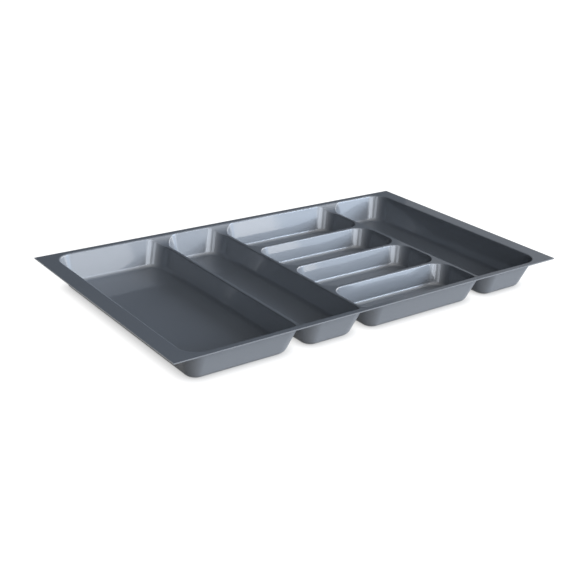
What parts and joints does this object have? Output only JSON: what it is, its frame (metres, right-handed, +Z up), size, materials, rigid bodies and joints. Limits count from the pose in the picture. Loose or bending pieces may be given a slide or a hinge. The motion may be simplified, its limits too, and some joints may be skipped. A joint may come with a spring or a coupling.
{
  "type": "cutlery tray",
  "caption": "Shallow drop-in drawer tray of glossy formed plastic sheet, with rounded drafted wells, low dividers and a flat trimmed rim, for sorting cutlery.",
  "frame": {"origin": "under the middle of the tray, on the plane it rests on", "axes": "+X along the tray towards its narrow end well, +Y to the rear of the drawer, +Z up"},
  "size_m": [0.832, 0.472, 0.053],
  "materials": {
    "sheet": "high gloss, faintly uneven from forming"
  },
  "bodies": {
    "root": {"flange_left": "sheet", "flange_right": "sheet", "flange_front": "sheet", "flange_rear": "sheet", "wall_left": "sheet", "wall_right": "sheet", "wall_front": "sheet", "wall_rear": "sheet", "divider_ab": "sheet", "divider_bc": "sheet", "divider_cd": "sheet", "divider_cross_front": "sheet", "divider_cross_mid": "sheet", "divider_cross_rear": "sheet", "floor_a": "sheet", "floor_b": "sheet", "floor_c_front": "sheet", "floor_c_midfront": "sheet", "floor_c_midrear": "sheet", "floor_c_rear": "sheet", "floor_d": "sheet"}
  },
  "joints": []
}
